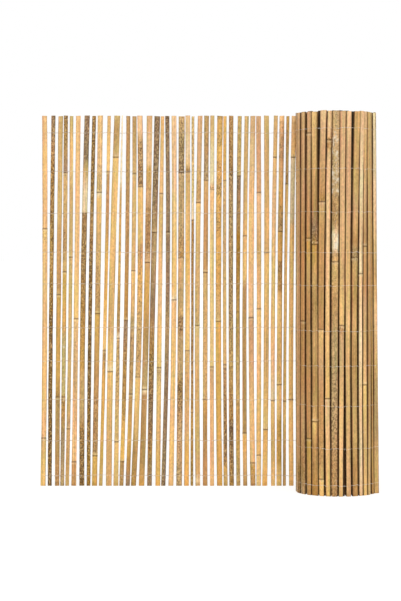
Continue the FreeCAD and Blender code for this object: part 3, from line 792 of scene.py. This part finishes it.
def add_cane(mesh, cane, section, step, cell, folds, cap_share):
    """Models one cane in a mesh, with its tones and marks, and lays it out in its cell of the map."""
    sizes = bpy.context.scene.cane_sizes
    heights = ring_heights(cane, sizes, step)
    table = sleeve(mesh, len(heights), len(section))
    tones = mesh.verts.layers.float_color["tone"]
    marks = mesh.verts.layers.float_color["marks"]
    toward_skin = 1 if cane.skin_seen else -1
    for height, row in zip(heights, table):
        cut = cane.slice_at(height, sizes)
        half, swell = cut[1], cut[3]
        worn = sizes.cut_chamfer if height in (0.0, cane.length) else 0.0
        seen, blotches, wax = look_at(cane.look, height)
        line, band = cane.mark("dark line", height), cane.mark("pale band", height)
        at_head = height > cane.length / 2
        slant = cane.slants[0] if at_head else cane.slants[1]
        near_end = min(height, cane.length - height) <= sizes.cut_chamfer * MILLIMETRE
        for vertex, (face, across, share) in zip(row, section):
            skin_depth = cane.depth(across, half, swell, True, sizes)
            inner_depth = cane.depth(across, half, swell, False, sizes)
            drawn_in = 1.0 if face == "inner" else share
            inset = 1 - drawn_in * sizes.draft / half if abs(across) == 1 else 1.0
            depth = {
                "skin": skin_depth - worn,
                "inner": -inner_depth + worn,
                "side": skin_depth - share * (skin_depth + inner_depth),
            }[face]
            tilt = (1 + slant * across) / 2 * sizes.cut_slant * abs(slant) * MILLIMETRE if near_end else 0.0
            level = height - tilt if at_head else height + tilt * FOOT_SLANT_SHARE
            vertex.co = cane.spot(cut, across * inset * (1 - worn / half), depth * toward_skin, level)
            vertex[tones] = (*painted(cane, section, face, across, height, seen, line, band), 1.0)
            satin = face == "skin" and section is SECTION
            vertex[marks] = (blotches, wax, 1.0 if satin else 0.0, 1.0)
    corners = [face != "side" and abs(across) == 1 for face, across, _ in section]
    for row, above in zip(table, table[1:]):
        for vertex, follower, corner in zip(row, above, corners):
            if corner:
                edge = next(edge for edge in vertex.link_edges if edge.other_vert(vertex) == follower)
                edge.smooth = False
    for row in (table[0], table[-1]):
        cap = max(row[0].link_faces, key=lambda face: len(face.verts))
        cap.material_index = 1
        cap.smooth = False
        for edge in cap.edges:
            edge.smooth = False
    half = (cane.foot_width + cane.head_width) / 4
    unfold(mesh, table, heights, section_shares(section, half, sizes), cell, folds, cap_share)


def new_mesh():
    """An empty mesh with the layers that every piece has."""
    mesh = bmesh.new()
    mesh.verts.layers.float_color.new("tone")
    mesh.verts.layers.float_color.new("marks")
    mesh.loops.layers.uv.new("OFBake")
    return mesh


def add_object(mesh, name, materials):
    """Puts a mesh into the scene as an object."""
    data = bpy.data.meshes.new(name)
    mesh.to_mesh(data)
    mesh.free()
    for material in materials:
        data.materials.append(material)
    item = bpy.data.objects.new(name, data)
    bpy.context.scene.collection.objects.link(item)
    return item


def finish_piece(mesh, name, materials, replaced):
    """Turns a mesh into a piece of the panel that stands for its solids."""
    for face in mesh.faces:
        if face.material_index == 0:
            face.smooth = True
    bmesh.ops.recalc_face_normals(mesh, faces=mesh.faces)
    piece = add_object(mesh, name, materials)
    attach(piece, "root")
    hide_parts(*replaced)


# Reading the frame


def leaf_joints(levels):
    """The heights of a solid's leaf joints: the middle of each run of levels that lie close together."""
    runs = []
    for level in levels:
        if runs and level - runs[-1][-1] < JOINT_STEP:
            runs[-1].append(level)
        else:
            runs.append([level])
    return [(run[0] + run[-1]) / 2 for run in runs if len(run) > 2]


def flat_canes():
    """The canes of the flat stretch, read from their solids."""
    canes = []
    for node in FLAT_CANES:
        number = int(node.split("_")[1])
        points = [vertex.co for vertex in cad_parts[node].data.vertices]
        levels = {}
        for point in points:
            levels.setdefault(round(point.z, 5), []).append(point)
        heights = sorted(levels)
        length = heights[-1]
        half_way = min(heights, key=lambda height: abs(height - PANEL_HEIGHT / 2))
        plane = (min(p.y for p in levels[0.0]) + max(p.y for p in levels[0.0])) / 2
        places = []
        widths = []
        for height in (0.0, half_way, length):
            left, right = min(p.x for p in levels[height]), max(p.x for p in levels[height])
            places.append(Vector(((left + right) / 2, plane, 0)))
            widths.append((right - left) / MILLIMETRE)
        widest = min(levels[0.0], key=lambda p: p.x)
        rings = leaf_joints([height for height in heights if height not in (0.0, half_way, length)])
        ends = widths[0], widths[2]
        look = FLAT_LOOKS[number]
        canes.append(Cane(number, places, ends, FRONT, widest.y < plane, rings, length, look, True))
    return canes


def roll_rim(mesh, height):
    """The roll's outline at its foot or head, walked clockwise from the tangent."""
    level = [vertex for vertex in mesh.verts if abs(vertex.co.z - height) < MILLIMETRE]
    onward = {vertex: [] for vertex in level}
    for vertex in level:
        for edge in vertex.link_edges:
            upright = [abs(face.normal.z) < 0.5 for face in edge.link_faces]
            if edge.other_vert(vertex) in onward and any(upright) and not all(upright):
                onward[vertex].append(edge.other_vert(vertex))
    back = max(vertex.co.y for vertex in level)
    start = min((v for v in level if back - v.co.y < 2 * MILLIMETRE), key=lambda vertex: vertex.co.x)
    rim = [start, max(onward[start], key=lambda vertex: vertex.co.x)]
    while rim[-1] != start:
        rim.append(next(vertex for vertex in onward[rim[-1]] if vertex != rim[-2]))
    return [vertex.co.xy.to_3d() for vertex in rim[:-1]]


def turned_left(before, point, after):
    """How far a path turns to the left at a point, seen from above."""
    first, second = point - before, after - point
    return math.atan2(first.x * second.y - first.y * second.x, first.dot(second))


def read_roll():
    """Each rolled cane's middle at the foot and head, outward direction, width and turn of the roll."""
    sizes = bpy.context.scene.cane_sizes
    mesh = bmesh.new()
    mesh.from_mesh(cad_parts[ROLL_NODE].data)
    bmesh.ops.remove_doubles(mesh, verts=mesh.verts, dist=1e-6)
    mesh.normal_update()
    foot, head = roll_rim(mesh, 0.0), roll_rim(mesh, PANEL_HEIGHT)
    mesh.free()
    foot_span, head_span = (max(p.x for p in rim) - min(p.x for p in rim) for rim in (foot, head))
    shrink = head_span / foot_span
    still = (head[0] - foot[0] * shrink) / (1 - shrink)
    grooves = [
        number
        for number in range(1, len(foot) - 1)
        if turned_left(foot[number - 1], foot[number], foot[number + 1]) > GROOVE_ANGLE
    ]
    starts = [0] + [groove + 1 for groove in grooves]
    ends = grooves + [grooves[-1] + 3]
    canes = []
    wound = 0.0
    for start, end in zip(starts, ends):
        corners = foot[start:end]
        along = (corners[-1] - corners[0]).normalized()
        outward = Vector((-along.y, along.x, 0))
        skin = corners[1] if len(corners) == 3 else (corners[0] + corners[-1]) / 2
        middle = skin - outward * (sizes.thickness / 2 * MILLIMETRE)
        if canes:
            wound += canes[-1][2].angle(outward)
        width = (corners[-1] - corners[0]).length / MILLIMETRE
        canes.append((middle, still + (middle - still) * shrink, outward, width, int(wound / math.tau)))
    return canes, shrink


def rolled_canes():
    """The rolled canes, by the turn of the roll that they lie in."""
    canes, shrink = read_roll()
    turns = {}
    for number, (foot, head, outward, width, turn) in enumerate(canes, start=1):
        draw = random.Random(ROLLED_SEED + number)
        if number in ROLLED_LOOKS:
            rings = ROLLED_RINGS.get(number, ())
            look = ROLLED_LOOKS[number]
        else:
            rings = sorted((draw.uniform(*zone) for zone in JOINT_ZONES), reverse=True) if turn == 0 else ()
            # The canes of the inner turns take the gap shade all along, painted shade for the dark inside of
            # the roll
            look = random_look(draw, rings, OUTER_TONES if turn == 0 else INNER_SHADE_TONES)
        sink = draw.uniform(0, OUTER_SINK) if turn == 0 else draw.uniform(-STRAY, STRAY)
        along = outward.cross(UP) * MILLIMETRE
        mean_width = width * (1 + shrink) / 2
        usual = draw.uniform(-STRAY, STRAY), draw.uniform(-STRAY, STRAY), mean_width, mean_width
        foot_shift, head_shift, *ends = ROLLED_STANCES.get(number, usual)
        foot_lean, head_lean, turned = ROLLED_LEANS.get(number, (-sink, -sink, 0))
        out = outward * MILLIMETRE
        facing = outward.copy()
        facing.rotate(Euler((0, 0, -math.radians(turned))))
        middle = (foot + head) / 2 + out * ((foot_lean + head_lean) / 2)
        foot_place = foot + along * foot_shift + out * foot_lean
        head_place = head + along * head_shift + out * head_lean
        places = foot_place, middle, head_place
        skin_seen = draw.random() < SKIN_OUT_SHARE or turn > 0
        rings = [ring * MILLIMETRE for ring in rings]
        length = PANEL_HEIGHT - draw.uniform(0, LENGTH_LOSS) * MILLIMETRE
        cane = Cane(ROLLED_NUMBER + number, places, ends, facing, skin_seen, rings, length, look, False)
        turns.setdefault(turn, []).append(cane)
    return turns


# Materials


def add_node(tree, kind, sockets=(), **settings):
    """A shader node with its settings, and its inputs set to values or linked to other nodes' outputs."""
    node = tree.nodes.new(kind)
    for name, value in settings.items():
        setattr(node, name, value)
    for key, value in dict(sockets).items():
        if isinstance(value, bpy.types.NodeSocket):
            tree.links.new(value, node.inputs[key])
        else:
            node.inputs[key].default_value = value
    return node


def maths(tree, operation, first, second):
    """The result of a sum on two values."""
    return add_node(tree, "ShaderNodeMath", {0: first, 1: second}, operation=operation).outputs[0]


def blend(tree, share, first, second, way="MIX"):
    """A colour blended from two."""
    node = add_node(tree, "ShaderNodeMix", {0: share, 6: first, 7: second}, data_type="RGBA", blend_type=way)
    return node.outputs[2]


def times(tree, colour, factor):
    """A colour multiplied by another colour or a value."""
    return blend(tree, 1.0, colour, factor, "MULTIPLY")


def between(tree, share, first, second):
    """A value between two, by a share."""
    return add_node(tree, "ShaderNodeMix", {0: share, 2: first, 3: second}, data_type="FLOAT").outputs[0]


def pattern(tree, coords, name):
    """Noise from 0 to 1, drawn out along the canes where its stretch is small."""
    stretch, scale, detail, roughness = PATTERNS[name]
    placed = add_node(tree, "ShaderNodeMapping", {"Vector": coords, "Scale": (1, 1, stretch)}).outputs[0]
    sockets = {"Vector": placed, "Scale": scale, "Detail": detail, "Roughness": roughness}
    return add_node(tree, "ShaderNodeTexNoise", sockets).outputs[0]


def spread(tree, value, name):
    """A value's range stretched to another, held within it."""
    sockets = dict(enumerate((value, *RANGES[name])))
    return add_node(tree, "ShaderNodeMapRange", sockets, clamp=True).outputs[0]


def blank_material(name):
    """A material with only its shader and output, and the coordinates of the object."""
    material = bpy.data.materials.new(name)
    material.use_nodes = True
    tree = material.node_tree
    shader = next(node for node in tree.nodes if node.type == "BSDF_PRINCIPLED")
    coords = add_node(tree, "ShaderNodeTexCoord").outputs["Object"]
    return material, tree, shader, coords


def layer(tree, name):
    """A colour layer of the mesh."""
    return add_node(tree, "ShaderNodeAttribute", attribute_name=name).outputs["Color"]


def add_bump(tree, shader, height, strength):
    """Fine relief under a shader."""
    sockets = {"Height": height, "Strength": strength, "Distance": RELIEF_DEPTH}
    tree.links.new(add_node(tree, "ShaderNodeBump", sockets).outputs[0], shader.inputs["Normal"])


def rgba(name):
    """A named tone as the four numbers of a colour socket."""
    return (*tone(name), 1.0)


def bamboo_material(name):
    """Split bamboo: a cane's tones with streaks, fibres, blotches and wax; satin skin, matt inner face."""
    material, tree, shader, coords = blank_material(name)
    blotches, wax, skin = add_node(tree, "ShaderNodeSeparateColor", {0: layer(tree, "marks")}).outputs

    tint = blend(tree, spread(tree, pattern(tree, coords, "cast"), "cast"), *CAST_TINTS)
    colour = times(tree, layer(tree, "tone"), tint)
    broad = pattern(tree, coords, "broad")
    colour = times(tree, colour, spread(tree, broad, "shade"))

    fibres = pattern(tree, coords, "fibres")
    grain = between(tree, skin, spread(tree, fibres, "bare fibres"), spread(tree, fibres, "skin fibres"))
    colour = times(tree, colour, grain)

    mottled = times(tree, colour, spread(tree, pattern(tree, coords, "mottle"), "mottle"))
    colour = blend(tree, spread(tree, blotches, "mottle by blotches"), colour, mottled)
    flush = spread(tree, pattern(tree, coords, "flush"), "flush")
    colour = times(tree, colour, blend(tree, flush, *FLUSH_TINTS))

    streak = pattern(tree, coords, "streak")
    colour = blend(tree, spread(tree, streak, "streak"), colour, rgba("blotch"))

    cover = maths(tree, "MULTIPLY", blotches, BLOTCH_COVER)
    cloud = maths(tree, "ADD", pattern(tree, coords, "cloud"), cover)
    cloudy = maths(tree, "SUBTRACT", cloud, CLOUD_LIMIT)
    colour = blend(tree, spread(tree, cloudy, "cloud"), colour, rgba("blotch"))

    fleck = spread(tree, pattern(tree, coords, "fleck"), "fleck")
    colour = blend(tree, maths(tree, "MULTIPLY", fleck, blotches), colour, rgba("straw"))

    speckle = maths(tree, "ADD", pattern(tree, coords, "speckle"), cover)
    speckled = maths(tree, "SUBTRACT", speckle, SPECKLE_LIMIT)
    colour = blend(tree, spread(tree, speckled, "speckle"), colour, rgba("blotch"))

    film = maths(tree, "ADD", pattern(tree, coords, "film"), maths(tree, "MULTIPLY", wax, WAX_COVER))
    colour = blend(tree, spread(tree, film, "film"), colour, rgba("wax"))
    tree.links.new(colour, shader.inputs["Base Color"])

    satin = maths(tree, "ADD", spread(tree, broad, "satin"), spread(tree, cloudy, "roughness of clouds"))
    tree.links.new(between(tree, skin, BARE_ROUGHNESS, satin), shader.inputs["Roughness"])
    shader.inputs["Specular IOR Level"].default_value = BAMBOO_SPECULAR
    relief = between(tree, skin, BARE_RELIEF, SKIN_RELIEF)
    add_bump(tree, shader, maths(tree, "MULTIPLY", fibres, relief), BAMBOO_BUMP)
    return material


def end_material(name):
    """Sawn ends: pale tissue full of dark fibre bundles."""
    material, tree, shader, coords = blank_material(name)
    colour = blend(tree, END_FIBRE_SHARE, layer(tree, "tone"), rgba("fibre"))
    cells = add_node(tree, "ShaderNodeTexVoronoi", {"Vector": coords, "Scale": BUNDLE_SCALE}, feature="F1")
    bundles = cells.outputs["Distance"]
    colour = blend(tree, spread(tree, bundles, "bundles"), colour, rgba("umber"))
    dirt = pattern(tree, coords, "end dirt")
    colour = blend(tree, spread(tree, dirt, "end dirt"), colour, rgba("brown"))
    tree.links.new(colour, shader.inputs["Base Color"])
    shader.inputs["Roughness"].default_value = END_ROUGHNESS
    add_bump(tree, shader, bundles, END_BUMP)
    return material


def wire_material(name):
    """Galvanised wire, a little dull and cloudy."""
    material, tree, shader, coords = blank_material(name)
    bloom = pattern(tree, coords, "bloom")
    stain = pattern(tree, coords, "stain")
    colour = blend(tree, spread(tree, bloom, "bloom"), rgba("zinc"), rgba("wax"))
    colour = blend(tree, spread(tree, stain, "stain"), colour, rgba("fibre"))
    tree.links.new(colour, shader.inputs["Base Color"])
    tree.links.new(spread(tree, bloom, "wire roughness"), shader.inputs["Roughness"])
    shader.inputs["Metallic"].default_value = WIRE_METALLIC
    return material


def material_for(name, maker):
    """A material by name, made the first time that it is asked for."""
    return bpy.data.materials.get(name + "_finish") or maker(name + "_finish")


def cane_materials(slot):
    """The skin and end materials of a piece of bamboo."""
    return [material_for(slot, bamboo_material), material_for("sawn_end", end_material)]


# Pieces


class BAMBOO_OT_flat_canes(bpy.types.Operator):
    """Model the split canes of the flat stretch"""

    bl_idname = "bamboo.flat_canes"
    bl_label = "Flat Canes"

    def execute(self, context):
        for node, cane in zip(FLAT_CANES, flat_canes()):
            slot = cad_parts[node].data.materials[0].name
            mesh = new_mesh()
            add_cane(mesh, cane, SECTION, context.scene.cane_sizes.ring_pitch, (0, 0, 1, 1), *FOLDS["flat"])
            finish_piece(mesh, f"split_{node}", cane_materials(slot), [node])
        return {"FINISHED"}


class BAMBOO_OT_outer_turn(bpy.types.Operator):
    """Model the canes of the roll's outer turn, a quarter of the turn in each piece"""

    bl_idname = "bamboo.outer_turn"
    bl_label = "Outer Turn"

    def execute(self, context):
        names = [f"rolled_{side}_canes" for side in ("back", "right", "front", "left")]
        quarters = {name: [] for name in names}
        for cane in rolled_canes()[0]:
            heading = math.atan2(cane.front.x, cane.front.y) % math.tau
            quarters[names[int((heading + math.pi / 4) % math.tau / (math.pi / 2))]].append(cane)
        for name, canes in quarters.items():
            mesh = new_mesh()
            across = math.ceil(len(canes) / 2)
            for number, cane in enumerate(canes):
                cell = (number % across / across, number // across / 2, 1 / across, 1 / 2)
                add_cane(mesh, cane, SECTION, context.scene.cane_sizes.ring_pitch, cell, *FOLDS["outer"])
            finish_piece(mesh, name, cane_materials("bamboo_rolled"), [ROLL_NODE])
        return {"FINISHED"}


class BAMBOO_OT_inner_turns(bpy.types.Operator):
    """Model the canes of the roll's inner turns, one piece a turn"""

    bl_idname = "bamboo.inner_turns"
    bl_label = "Inner Turns"

    def execute(self, context):
        for turn, canes in rolled_canes().items():
            if turn == 0:
                continue
            mesh = new_mesh()
            across = math.ceil(math.sqrt(len(canes)))
            for number, cane in enumerate(canes):
                cell = (number % across / across, number // across / across, 1 / across, 1 / across)
                step = PANEL_HEIGHT / MILLIMETRE / INNER_STEPS
                add_cane(mesh, cane, PLAIN_SECTION, step, cell, *FOLDS["inner"])
            name = f"rolled_turn_{turn + 1}"
            finish_piece(mesh, name, cane_materials("bamboo_rolled"), [ROLL_NODE])
        return {"FINISHED"}


def strand(canes, height, phase):
    """The path of one strand of a row: over a cane, round the other strand in the gap, under the next."""
    sizes, wire = bpy.context.scene.cane_sizes, bpy.context.scene.wire_sizes
    radius = wire.gauge / 2
    lift = radius + wire.clearance
    path = []
    draw = random.Random(round(height / MILLIMETRE))
    level = height
    for number, cane in enumerate(canes):
        front = (number + phase) % 2 == 0
        slope = wire.slope * draw.uniform(*SLOPE_RANGE) * MILLIMETRE
        for across in STRAND_STOPS:
            climb = slope * across * (0.5 if front else -0.5)
            path.append(cane.on_face(across, front, level + climb, lift, sizes))
        if number + 1 < len(canes):
            last_level = level
            level = height + wire.stray * draw.uniform(-1, 1) * MILLIMETRE
            path += twist(cane, canes[number + 1], (last_level, level), front, radius, sizes, wire)
    return path


def edge_of(cane, across, height, sizes):
    """The middle of a cane's split side."""
    near = cane.on_face(across, True, height, 0, sizes)
    far = cane.on_face(across, False, height, 0, sizes)
    return (near + far) / 2


def twist(cane, follower, levels, front, radius, sizes, wire):
    """A strand's points in the gap between two canes, where the two strands wind round each other."""
    start, end = edge_of(cane, 1.0, levels[0], sizes), edge_of(follower, -1.0, levels[1], sizes)
    gap = (end - start).length / MILLIMETRE
    wide = gap > wire.wide_gap
    half_turns = WIDE_GAP_HALF_TURNS if wide else 1
    sharpness = WIDE_GAP_SHARPNESS if wide else GAP_SHARPNESS
    first = cane.front if cane.mat_front else -cane.front
    second = follower.front if follower.mat_front else -follower.front
    count = GAP_STOPS + HALF_TURN_STOPS * (half_turns - 1)
    way = 1 if front else -1
    tight = radius * WINDING_SLACK
    points = []
    for step in range(1, count + 1):
        share = step / (count + 1)
        outward = first.lerp(second, share).normalized()
        angle = math.pi * half_turns * share
        reach = tight + (sizes.thickness / 2 - tight) * abs(2 * share - 1) ** sharpness
        rise = way * math.sin(angle) * min(1.0, tight * 2 / reach)
        offset = outward * (way * math.cos(angle)) + UP * rise
        points.append(start.lerp(end, share) + offset * (reach * MILLIMETRE))
    return points


def add_wire(mesh, path, radius, sides):
    """A strand of wire along a path of points, in metres."""
    table = sleeve(mesh, len(path), sides)
    walked = [0.0]
    for before, point in zip(path, path[1:]):
        walked.append(walked[-1] + (point - before).length)
    aside = UP.copy()
    for number, (point, row) in enumerate(zip(path, table)):
        onward = (path[min(number + 1, len(path) - 1)] - path[max(number - 1, 0)]).normalized()
        aside = (aside - onward * aside.dot(onward)).normalized()
        across = onward.cross(aside)
        for side, vertex in enumerate(row):
            angle = side / sides * math.tau
            vertex.co = point + (aside * math.cos(angle) + across * math.sin(angle)) * radius
    shares = [side / sides for side in range(sides)]
    unfold(mesh, table, walked, shares, (0, 0, 1, 1), *FOLDS["wire"])


class BAMBOO_OT_binding_wires(bpy.types.Operator):
    """Wind the rows of binding wire through the canes"""

    bl_idname = "bamboo.binding_wires"
    bl_label = "Binding Wires"

    def execute(self, context):
        wire, sizes = context.scene.wire_sizes, context.scene.cane_sizes
        flat = flat_canes()
        rolled = rolled_canes()[0][:-CANES_WITHOUT_WIRE]
        for node, height in zip(WIRE_NODES, WIRE_HEIGHTS):
            canes = flat + rolled
            near, far = strand(canes, height, 0), strand(canes, height, 1)
            lift = (wire.gauge / 2 + wire.clearance) * MILLIMETRE
            bend = edge_of(flat[0], -1.0, height, sizes) - flat[0].along * lift
            path = near[::-1] + [bend] + far
            mesh = new_mesh()
            add_wire(mesh, path, wire.gauge / 2 * MILLIMETRE, wire.sides)
            name = node.replace("wire_row", "binding_wire")
            finish_piece(mesh, name, [material_for("wire", wire_material)], [node])
        return {"FINISHED"}


# Stage


def seen_plainly(tree):
    """1 for the camera's rays and their reflections and refractions, 0 for all others."""
    ray = add_node(tree, "ShaderNodeLightPath").outputs
    mirrored = maths(tree, "MAXIMUM", ray["Is Glossy Ray"], ray["Is Transmission Ray"])
    return maths(tree, "MAXIMUM", ray["Is Camera Ray"], mirrored)


def floor_material():
    """A white floor that keeps the panel's shadow, and a plain pale floor to every ray but the camera's."""
    material, tree, shader, _ = blank_material("studio_floor")
    tree.nodes.remove(shader)
    output = next(node for node in tree.nodes if node.type == "OUTPUT_MATERIAL")
    glow = add_node(tree, "ShaderNodeEmission", {"Color": (1, 1, 1, 1), "Strength": FLOOR_GLOW}).outputs[0]
    lit = add_node(tree, "ShaderNodeBsdfDiffuse", {"Color": FLOOR_SHOWN}).outputs[0]
    shown = add_node(tree, "ShaderNodeAddShader", {0: glow, 1: lit}).outputs[0]
    plain = add_node(tree, "ShaderNodeBsdfDiffuse", {"Color": FLOOR_PLAIN}).outputs[0]
    either = add_node(tree, "ShaderNodeMixShader", {0: seen_plainly(tree), 1: plain, 2: shown}).outputs[0]
    tree.links.new(either, output.inputs["Surface"])
    return material


def white_world(strength):
    """Even light all round, white where the camera sees it."""
    world = bpy.data.worlds.new("studio")
    world.use_nodes = True
    tree = world.node_tree
    background = next(node for node in tree.nodes if node.type == "BACKGROUND")
    background.inputs["Color"].default_value = (1, 1, 1, 1)
    tree.links.new(between(tree, seen_plainly(tree), strength, 1.0), background.inputs["Strength"])
    bpy.context.scene.world = world


def add_lamp(name, place, strength, softness):
    """A distant lamp that shines from a place towards the panel's middle."""
    data = bpy.data.lights.new(name, "SUN")
    data.energy = strength
    data.angle = softness
    lamp = bpy.data.objects.new(name, data)
    lamp.location = place
    target = Vector((0, 0, PANEL_HEIGHT / 2))
    lamp.rotation_euler = (target - lamp.location).to_track_quat("-Z", "Y").to_euler()
    bpy.context.scene.collection.objects.link(lamp)


class BAMBOO_OT_studio(bpy.types.Operator):
    """Add the floor, the lamps and the camera"""

    bl_idname = "bamboo.studio"
    bl_label = "Studio"

    def execute(self, context):
        settings = context.scene.studio_settings
        mesh = bmesh.new()
        bmesh.ops.create_grid(mesh, x_segments=1, y_segments=1, size=FLOOR_SIZE)
        add_object(mesh, "studio_floor", [floor_material()])
        white_world(settings.sky)
        for name, place in LAMP_PLACES.items():
            softness = settings.key_softness * (BACK_SOFTENING if name == "back" else 1)
            add_lamp(f"{name}_lamp", place, getattr(settings, name), softness)
        camera_data = bpy.data.cameras.new("studio_camera")
        camera_data.lens = settings.lens
        camera_data.sensor_fit = "AUTO"
        camera_data.sensor_width = SENSOR_WIDTH
        camera_data.shift_y = settings.drop
        camera = bpy.data.objects.new("studio_camera", camera_data)
        camera.location = settings.camera_place
        camera.rotation_euler = (math.radians(90), 0, 0)
        context.scene.collection.objects.link(camera)
        context.scene.camera = camera
        context.scene.view_settings.view_transform = "Standard"
        return {"FINISHED"}


class BAMBOO_PT_panel(bpy.types.Panel):
    """Sizes, tones and steps of the bamboo fence panel"""

    bl_idname = "BAMBOO_PT_panel"
    bl_label = "Bamboo Fence Panel"
    bl_space_type = "VIEW_3D"
    bl_region_type = "UI"
    bl_category = "Bamboo"

    def draw(self, context):
        layout = self.layout
        for name, group in PROPERTY_GROUPS.items():
            box = layout.box()
            box.label(text=name.replace("_", " ").capitalize())
            for field in group.__annotations__:
                box.prop(getattr(context.scene, name), field)
        for operator in OPERATORS:
            layout.operator(operator.bl_idname)


OPERATORS = (
    BAMBOO_OT_flat_canes,
    BAMBOO_OT_outer_turn,
    BAMBOO_OT_inner_turns,
    BAMBOO_OT_binding_wires,
    BAMBOO_OT_studio,
)
CLASSES = (*PROPERTY_GROUPS.values(), *OPERATORS, BAMBOO_PT_panel)


def register():
    for made in CLASSES:
        bpy.utils.register_class(made)
    for name, group in PROPERTY_GROUPS.items():
        setattr(bpy.types.Scene, name, PointerProperty(type=group))


def unregister():
    for name in PROPERTY_GROUPS:
        delattr(bpy.types.Scene, name)
    for made in reversed(CLASSES):
        bpy.utils.unregister_class(made)


def main():
    register()
    bpy.ops.bamboo.flat_canes()
    bpy.ops.bamboo.outer_turn()
    bpy.ops.bamboo.inner_turns()
    bpy.ops.bamboo.binding_wires()
    bpy.ops.bamboo.studio()


if __name__ == "__main__":
    main()
